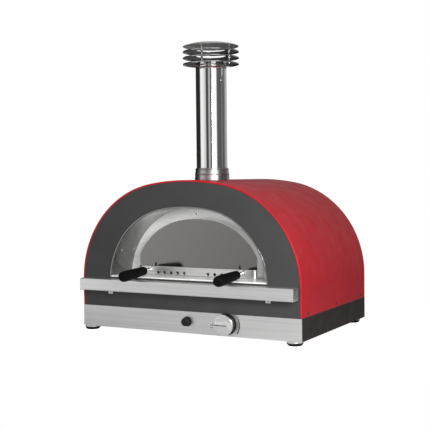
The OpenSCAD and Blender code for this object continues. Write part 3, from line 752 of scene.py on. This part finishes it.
def feet():
    """Four feet: a pale pressed cup set in a wider rubber pad that tapers to the floor."""
    low, high = extent("foot_rubbers")
    cup_low, cup_high = extent("foot_cups")
    cup_r, r, sole_r = 24.0, 26.0, 20.0
    cup_bore, bore = 3.4, 6.4
    places = [(x, y, 0.0) for x in (low[0] + r, high[0] - r) for y in (low[1] + r, high[1] - r)]
    rubber = corners([(bore, low[2]), (sole_r, low[2]), (r, high[2]), (bore, high[2])], [1.5, 0.8], 4)
    cup = corners([(cup_bore, cup_low[2]), (cup_r, cup_low[2]), (cup_r, cup_high[2]),
                   (cup_bore, cup_high[2])], 0.8, 4)
    several("foot_rubber_pads", [ring_part(rubber, p) for p in places], RUBBER, "oven",
            ["foot_rubbers"])
    several("foot_cup_set", [ring_part(cup, p) for p in places], CUP, "oven", ["foot_cups"])


feet()
dress("foot_screws", ZINC)


# ---------------------------------------------------------------- shelf

def shelf():
    """The bar across the front: a channel folded from brushed sheet, open at its ends and below."""
    low, high = extent("front_shelf")
    lip = 12.0
    line = corners([(low[1] + lip, low[2]), (low[1], low[2]), (low[1], high[2]), (high[1], high[2]),
                    (high[1], low[2]), (-lip, low[2])], 2.2, 5)
    return [run_part(thick(line, -SHEET), low[0], high[0], 2)]


several("front_shelf_bar", shelf(), BRUSHED, "oven", ["front_shelf"])
dress("shelf_brackets", BRUSHED, 0.3)
dress("shelf_screws", ZINC, 0.3)


# ---------------------------------------------------------------- gas train

for part, finish in (("burner_tube", CHAMBER), ("burner_brackets", CHAMBER), ("flame_guard", CHAMBER),
                     ("thermocouple", COPPER), ("spark_electrode", CERAMIC), ("burner_feed_pipe", COPPER),
                     ("supply_pipe", COPPER), ("gas_inlet", BRASS), ("valve_body", BRASS),
                     ("valve_plug", BRASS), ("valve_spindle", ZINC), ("flue_throat", CHAMBER)):
    dress(part, finish)


# ---------------------------------------------------------------- controls

KNOB_LOW, KNOB_HIGH = extent("control_knob")
KNOB_X = (KNOB_LOW[0] + KNOB_HIGH[0]) / 2
CONTROL_Z = (KNOB_LOW[2] + KNOB_HIGH[2]) / 2
KNOB_R = (KNOB_HIGH[0] - KNOB_LOW[0]) / 2
FORWARD = (0, -1, 0)


def knob():
    """A chromed disc with a raised bar across its face, on a black skirt. The bar ends on the disc's rim and
    carries two printed lines."""
    bar_t, bar_half, bar_top = 24.0, 7.5, 6.3
    centre = (KNOB_X, 0, CONTROL_Z)
    face = KNOB_LOW[1] + bar_t
    skirt_low, skirt_high = extent("knob_skirt")
    r = KNOB_R
    disc = corners([(4.2, -KNOB_HIGH[1]), (r, -KNOB_HIGH[1]), (r, -face - 0.5), (0.3, -face)], [0.4, 1.8], 4)
    lathe("knob_disc", disc, CHROME, "knob", centre, FORWARD, replaced=["control_knob"])
    edge = math.sqrt((r - 0.5) ** 2 - bar_half ** 2)
    section = corners([(face + 1, -bar_half), (KNOB_LOW[1], -bar_top), (KNOB_LOW[1], bar_top),
                       (face + 1, bar_half)], 2.2, 4)
    part = run_part(np.stack([section[:, 0], section[:, 1] + CONTROL_Z], 1), KNOB_X - edge, KNOB_X + edge)
    several("knob_bar", [part], CHROME, "knob", bevel=1.4, steps=3)
    skirt_bore, skirt_r, skirt_front = 4.6, r - 0.2, -skirt_low[1] + 0.1
    skirt = corners([(skirt_bore, -skirt_high[1]), (skirt_r, -skirt_high[1]), (skirt_r, skirt_front),
                     (skirt_bore, skirt_front)], 0.8, 3)
    lathe("knob_skirt_ring", skirt, PLASTIC, "knob", centre, FORWARD,
          replaced=["knob_skirt"], ring=True)
    marks = [block_part((KNOB_X - edge + 1, KNOB_LOW[1] - 0.02, CONTROL_Z + z0),
                        (KNOB_X - edge + length, KNOB_LOW[1] + 0.4, CONTROL_Z + z1))
             for z0, z1, length in ((1.9, 4.2, 2 * edge - 6), (-4.2, -2.4, 12))]
    several("knob_marks", marks, INK, "knob")


def knob_bezel():
    """Flat black ring behind the knob."""
    low, high = extent("knob_bezel")
    bore, r = 7.2, (high[0] - low[0]) / 2
    ring = corners([(bore, -high[1]), (r, -high[1]), (r, -low[1]), (bore, -low[1])], 0.5, 3)
    lathe("knob_bezel_ring", ring, PLASTIC, "oven", (KNOB_X, 0, CONTROL_Z), FORWARD,
          replaced=["knob_bezel"], ring=True)


def dial_arc():
    """A printed crescent to the right of the knob: an arc that thickens as it goes down, as a thin raised
    film."""
    n, film, inner = 33, 0.15, KNOB_R + 10.5
    t = np.linspace(math.radians(46), math.radians(-36), n)
    outer = inner + np.interp(np.linspace(0, 1, n), [0, 1], [1.2, 4.2])
    loop = [(inner, 0.0), (outer, 0.0), (outer, -film), (inner, -film)]
    points = np.stack([np.stack([KNOB_X + r * np.cos(t), np.full(n, y), CONTROL_Z + r * np.sin(t)], -1)
                       for r, y in loop], 1)
    part = (points, cells(n, 4, False, True), [np.arange(4)[::-1], np.arange(4) + (n - 1) * 4])
    several("dial_arc", [part], INK, "oven")


knob()
knob_bezel()
dial_arc()


def igniter():
    """Black bezel nut with a bevelled front, and the dished button on its stem."""
    low, high = extent("igniter_bezel")
    b_low, b_high = extent("igniter_button")
    x = (low[0] + high[0]) / 2
    bore, r = 9.5, (high[0] - low[0]) / 2
    nut = corners([(bore, -high[1]), (r, -high[1]), (r, -low[1] - 1.4), (r - 3.2, -low[1]), (bore, -low[1])],
                  [0.3, 0.8, 0.8], 3)
    lathe("igniter_bezel_nut", nut, PLASTIC, "oven", (x, 0, CONTROL_Z), FORWARD, 64,
          ["igniter_bezel"], ring=True)
    stem_r, head_r, head_back, head_front = 9.0, (b_high[0] - b_low[0]) / 2, 10.0, -b_low[1]
    button = corners([(0.3, -b_high[1]), (stem_r, -b_high[1]), (stem_r, head_back), (head_r, head_back),
                      (head_r, head_front), (head_r - 4.0, head_front), (head_r - 5.0, head_front - 2.0),
                      (0.3, head_front - 2.6)], [0.5, 0.6, 0.6, 2.0, 1.0, 1.0], 4)
    lathe("igniter_push_button", button, PLASTIC, "igniter", (x, 0, CONTROL_Z), FORWARD, 64,
          ["igniter_button"])


igniter()
dress("igniter_body", PLASTIC)


# ---------------------------------------------------------------- chimney

FLUE = (0, FLUE_Y, 0)
PIPE_LOW, PIPE_HIGH = extent("flue_pipe")


def flue_pipe():
    """A thin rolled tube, open at both ends, with a clamp slot at its top: a grid about the axis whose column
    at the slot is left out, given its wall by Solidify."""
    slot_angle, slot_w, slot_l = math.radians(-18), 2.4, 36.0
    half = slot_w / 2 / FLUE_R
    slot_foot, rows = PIPE_HIGH[2] - slot_l, 14
    t = np.concatenate([slot_angle + np.array([-half, half]),
                        slot_angle + np.linspace(half, 2 * np.pi - half, 127)[1:-1]])
    z = np.concatenate([np.linspace(PIPE_LOW[2], slot_foot, rows),
                        np.linspace(slot_foot, PIPE_HIGH[2], 5)[1:]])
    a, h = np.meshgrid(t, z, indexing="ij")
    points = np.stack([FLUE_R * np.cos(a), FLUE_Y + FLUE_R * np.sin(a), h], -1)
    quads = cells(len(t), len(z), True, False)
    in_slot = (quads[:, 0] // len(z) == 0) & (quads[:, 0] % len(z) >= rows - 1)
    make("flue_pipe_tube", points, quads[~in_slot], POLISHED, "flue", ["flue_pipe"],
         inside=(0, FLUE_Y, (PIPE_LOW[2] + PIPE_HIGH[2]) / 2), wall=1.0)


def collar():
    """Flared collar: a cone with two rolled beads, its outline given outwards from the pipe over a height of
    43 and stretched to the collar's own."""
    low, high = extent("flue_collar")
    r0, z0, z1 = FLUE_R + 0.4, low[2], high[2]
    outer = [(6.5, 0), (6.2, 6), (5.6, 14), (5.3, 20), (6.2, 21.4), (6.3, 22.8), (5.2, 24.2), (4.6, 30),
             (3.6, 36.5), (4.5, 37.6), (4.4, 39.0), (3.2, 40.2), (2.8, 42.6), (2.2, 43.0)]
    loop = [(r0, z0)] + [(FLUE_R + r, z0 + h * (z1 - z0) / 43.0) for r, h in outer] + [(r0, z1)]
    lathe("flue_collar_cone", corners(loop, 0.35, 2), COLLAR, "oven", FLUE, sides=128,
          replaced=["flue_collar"], ring=True)


def cap():
    """Neck, three flared rings on three posts with nuts at the upper two, and a low lid with a rolled rim."""
    neck_low, neck_high = extent("cap_neck")
    neck_r = (neck_high[0] - neck_low[0]) / 2
    bore = neck_r - 1
    neck = [(bore, neck_low[2]), (neck_r, neck_low[2]), (neck_r, neck_high[2]), (bore, neck_high[2])]
    lathe("cap_neck_tube", corners(neck, 0.3, 2), POLISHED, "cap", FLUE, sides=128,
          replaced=["cap_neck"], ring=True)
    low, high = extent("cap_rings")
    rim = (high[0] - low[0]) / 2
    parts = []
    for inner, z in ((neck_r + 0.1, 846.0), (47.0, 866.0), (47.0, 886.0)):
        line = corners([(inner, z + 7.6), (rim - 0.8, z + 2.8), (rim - 0.2, z + 0.2)], 0.8, 3)
        parts.append(ring_part(thick(line[::-1], -1.1), FLUE, sides=128))
    post, post_circle = [(2.9, 850.5), (2.9, 910.3)], 59
    nut_r, nut_t = 4.6, 3.0
    for angle in map(math.radians, (30, 150, 270)):
        spot = (post_circle * math.cos(angle), FLUE_Y + post_circle * math.sin(angle), 0)
        parts.append(turned_part(post, spot, sides=24))
        for z in (868.5, 888.5):
            nut = [(0.2, z), (nut_r, z), (nut_r, z + nut_t), (0.2, z + nut_t)]
            parts.append(turned_part(nut, spot, sides=6))
    several("cap_ring_stack", parts, SHADED_RING_STEEL, "cap", ["cap_rings"])
    lid_low, lid_high = extent("cap_lid")
    z0, z1, bend_r = lid_low[2], lid_high[2], 67
    top = corners([(0.3, z1 - 0.2), (bend_r, z0 + 8.6), (rim - 1.6, z0 + 2.2), (rim - 0.1, z0 + 1.2)],
                  [30, 1.0], 6)
    bottom = corners([(rim - 0.1, z0 + 1.2), (rim - 1.0, z0 + 0.1), (rim - 3.0, z0 + 1.1),
                      (bend_r, z0 + 6.8), (0.3, z1 - 2.6)], [0.4, 0.6, 30], 5)
    lathe("cap_lid_dome", np.concatenate([top, bottom[1:]]), LID, "cap", FLUE, sides=128,
          replaced=["cap_lid"])


flue_pipe()
collar()
cap()
dress("flue_screw", ZINC, 0.4)


# ---------------------------------------------------------------- door

RAIL_LOW, RAIL_HIGH = extent("door_rail")
VENT_X = 43.0 + 24.5 * np.arange(5)
VENT_Z = RAIL_LOW[2] + 7.5
VENT_R = 5.0

dress("door_front_panel", SHADED_DOOR_STEEL, 0.25)
dress("door_box", POLISHED, 0.3)
dress("vent_slider_left", SLIDER, 0.2)
dress("vent_slider_right", SLIDER, 0.2)


def door_rail():
    """The folded strip at the door's foot: a grid that runs along x and over the strip's folded section, with
    a round hole in each square of its face."""
    half, across, margin = 6.6, 8, 2
    centres = np.concatenate([-VENT_X[::-1], VENT_X])
    fixed = np.concatenate([hole_lines(c, half, across, margin) for c in centres])
    x = fill_lines(RAIL_LOW[0], RAIL_HIGH[0], fixed, 12)
    y0, y1, z0, z1 = RAIL_LOW[1], RAIL_HIGH[1], RAIL_LOW[2], RAIL_HIGH[2]
    fold = 0.8
    face = fill_lines(z0 + fold, z1 - fold, hole_lines(VENT_Z, half, across, margin), 4)
    under = corners([(y1 - 0.1, z0), (y0, z0), (y0, z0 + 0.85)], fold, 4)[:-1]
    over = corners([(y0, z1 - 6), (y0, z1), (y1 - 0.1, z1)], fold, 4)[1:]
    line = np.concatenate([under, np.stack([np.full(len(face), y0), face], 1)[1:-1], over])
    u, v = np.meshgrid(x, line[:, 1], indexing="ij")
    gone = np.zeros(u.shape, bool)
    on_face = np.abs(line[:, 0] - y0) < 1e-6
    for c in centres:
        pu, pv, open_here = punch(u, v, (c, VENT_Z), VENT_R, half)
        u, v = np.where(on_face, pu, u), np.where(on_face, pv, v)
        gone |= open_here & on_face
    points = np.stack([u, np.broadcast_to(line[:, 0], u.shape), v], -1)
    make("door_rail_strip", points, drop(cells(*u.shape), gone), SATIN, "door",
         ["door_rail"], inside=(0, y1 + 40, VENT_Z), wall=LINER)


door_rail()


def handles():
    """Each handle: a steel shank on a foot disc, a dark ferrule, and a black grip that swells from its root
    to a blunt rounded end."""
    grip_l, drop_z, start, pitch = 127.0, 8.0, 42.0, 334.0
    tip_r, root_r, shank_r, disc_r, bore = 17.0, 13.5, 5.0, 9.0, 5.2
    end = start + grip_l
    tilt = math.atan2(drop_z, grip_l)
    axis = (0, -math.cos(tilt), -math.sin(tilt))
    root_z = RAIL_LOW[2] + 17.7
    places = [(side * pitch / 2, RAIL_LOW[1], root_z) for side in (-1, 1)]
    shank = corners([(disc_r, 0.9), (disc_r, 3.0), (shank_r, 3.4), (shank_r, start - 2)], 0.8, 4)
    grip = corners([(bore, start), (root_r - 1, start), (root_r, start + 2),
                    (tip_r - 0.5, start + 0.62 * grip_l), (tip_r, end - 14), (tip_r - 1.3, end - 4),
                    (tip_r - 5, end - 0.6), (0.3, end)], [0.6, 3, 80, 8, 6, 3], 6)
    ferrule = corners([(bore, start - 9), (7.0, start - 9), (root_r - 1.4, start - 1),
                       (root_r - 1.8, start - 0.1), (bore, start - 0.1)], [0.6, 0.8, 0.3], 3)
    for part, profile, material, slot in (("shank", shank, POLISHED, "polished_steel"),
                                          ("grip", grip, GRIP, "black_grip")):
        several(f"handle_{part}_pair", [turned_part(profile, place, axis, 64) for place in places], material,
                "door", [f"handle_{part}s"], crease=50)
    several("handle_ferrule_pair", [ring_part(ferrule, place, axis, 48) for place in places], DARK_STEEL,
            "door", ["handle_ferrules"])


handles()


# ---------------------------------------------------------------- floor and light

def add_floor():
    """A plain pale disc of floor under the feet. It shines towards the camera alone, so no shadow shows round
    the feet, and the oven's sheets mirror a plain matt floor."""
    size, sides, z = 1.0, 96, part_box("foot_rubbers")[0].z
    t = np.linspace(0, 2 * np.pi, sides, endpoint=False)
    ring = np.stack([size * np.cos(t), size * np.sin(t), np.full(sides, z)], 1)
    mesh = bpy.data.meshes.new("floor")
    mesh.from_pydata(ring.tolist(), [], [list(range(sides))])
    floor = bpy.data.objects.new("floor", mesh)
    f = Finish("pale_floor", (0.9, 0.9, 0.9), 0.0, 0.8, Specular_IOR_Level=0.0)
    f.shader.inputs["Emission Color"].default_value = (1, 1, 1, 1)
    ray = f.nodes.new("ShaderNodeLightPath")
    f.links.new(ray.outputs["Is Camera Ray"], f.shader.inputs["Emission Strength"])
    f.tint(f.noise(3), (0.72, 0.72, 0.72), (0.74, 0.74, 0.74))
    mesh.materials.append(f.material)
    collection.objects.link(floor)


class World:
    """Short ways to build the world's node tree."""

    def __init__(self, name):
        """Starts an empty world and puts it in the scene."""
        world = bpy.data.worlds.new(name)
        bpy.context.scene.world = world
        world.use_nodes = True
        self.nodes, self.links = world.node_tree.nodes, world.node_tree.links
        self.nodes.clear()

    def put(self, socket, value):
        """Sets a socket to a number or colour, or links it."""
        if isinstance(value, (int, float, tuple)):
            socket.default_value = value
        else:
            self.links.new(value, socket)

    def math(self, operation, a, b=0.0):
        """Arithmetic on two values."""
        node = self.nodes.new("ShaderNodeMath")
        node.operation = operation
        self.put(node.inputs[0], a)
        self.put(node.inputs[1], b)
        return node.outputs[0]

    def span(self, value, low, high):
        """A value's low..high carried to 0..1, clamped."""
        node = self.nodes.new("ShaderNodeMapRange")
        for socket, v in zip(("Value", "From Min", "From Max"), (value, low, high)):
            self.put(node.inputs[socket], v)
        return node.outputs["Result"]

    def mix(self, factor, a, b):
        """Mix of two numbers."""
        node = self.nodes.new("ShaderNodeMix")
        node.data_type = "FLOAT"
        self.put(node.inputs["Factor"], factor)
        self.put(node.inputs["A"], a)
        self.put(node.inputs["B"], b)
        return node.outputs["Result"]

    def light(self, value):
        """A background of a grey value or a colour."""
        node = self.nodes.new("ShaderNodeBackground")
        self.put(node.inputs["Color"], value)
        self.put(node.inputs["Strength"], 1.0)
        return node.outputs["Background"]

    def choose(self, factor, a, b):
        """Mix of two backgrounds."""
        node = self.nodes.new("ShaderNodeMixShader")
        self.put(node.inputs[0], factor)
        self.put(node.inputs[1], a)
        self.put(node.inputs[2], b)
        return node.outputs["Shader"]


def add_world():
    """A white studio to the eye. Reflections see upright panels whose brightness follows the compass
    direction, about the square of that brightness below the horizon, and an even grey ceiling; matt surfaces
    get a low even fill."""
    w = World("studio")
    coords = w.nodes.new("ShaderNodeTexCoord")
    axes = w.nodes.new("ShaderNodeSeparateXYZ")
    w.put(axes.inputs["Vector"], coords.outputs["Generated"])
    turn = w.math("ARCTAN2", axes.outputs["X"], w.math("MULTIPLY", axes.outputs["Y"], -1.0))
    bands = w.nodes.new("ShaderNodeValToRGB")
    # compass direction in degrees from the front towards the right, and the brightness there
    walls = [(-180, 0.5), (-156, 0.45), (-148, 0.025), (-66, 0.025), (-58, 1.0), (-37, 1.0), (-24, 0.72),
             (-15, 0.66), (-11, 0.07), (4, 0.07), (8, 0.5), (19, 0.5), (21, 0.06), (28, 0.06), (32, 1.1),
             (66, 1.1), (70, 0.12), (104, 0.10), (112, 0.22), (122, 0.10), (134, 0.12), (142, 0.26),
             (152, 0.28), (160, 0.5), (180, 0.5)]
    ramp = bands.color_ramp
    while len(ramp.elements) < len(walls):
        ramp.elements.new(0.5)
    for element, (angle, value) in zip(ramp.elements, walls):
        element.position = (angle + 180) / 360
        element.color = (value, value, value, 1)
    w.put(bands.inputs["Fac"], w.span(turn, -math.pi, math.pi))
    wall = bands.outputs["Color"]
    ground = w.math("ADD", w.math("MULTIPLY", w.math("MULTIPLY", wall, wall), 0.92), 0.02)
    room = w.mix(w.span(axes.outputs["Z"], -0.11, 0.03), ground, wall)
    room = w.mix(w.span(axes.outputs["Z"], 0.35, 0.75), room, 0.30)
    ray = w.nodes.new("ShaderNodeLightPath").outputs
    seen = w.choose(ray["Is Glossy Ray"], w.light((0.15, 0.15, 0.155, 1)), w.light(room))
    seen = w.choose(ray["Is Camera Ray"], seen, w.light((1, 1, 1, 1)))
    out = w.nodes.new("ShaderNodeOutputWorld")
    w.put(out.inputs["Surface"], seen)


def add_light(name, place, target, size, power):
    """A soft rectangular lamp at a place, aimed at a target. Lengths are in metres and power in watts."""
    data = bpy.data.lights.new(name, "AREA")
    data.shape = "RECTANGLE"
    data.size, data.size_y = size
    data.energy = power
    lamp = bpy.data.objects.new(name, data)
    place, target = np.array(place, float), np.array(target, float)
    back = (place - target) / np.linalg.norm(place - target)
    side = np.cross([0, 0, 1.0], back)
    side /= np.linalg.norm(side)
    top = np.cross(back, side)
    columns = [list(side) + [0], list(top) + [0], list(back) + [0], list(place) + [1]]
    lamp.matrix_world = Matrix(np.array(columns).T.tolist())
    collection.objects.link(lamp)
    return lamp


add_floor()
add_world()
add_light("key", (1.1, -1.2, 0.7), (0.39, -0.15, 0.25), (0.4, 0.4), 19)
fill = add_light("fill", (0.2, -2.8, 0.45), (0, -0.2, 0.28), (1.0, 0.8), 26)
fill.visible_glossy = False
add_light("top", (0.3, -0.5, 2.2), (0, -0.1, 0.4), (1.2, 1.2), 5)
bpy.context.scene.view_settings.view_transform = "Standard"
bpy.context.scene.view_settings.look = "None"
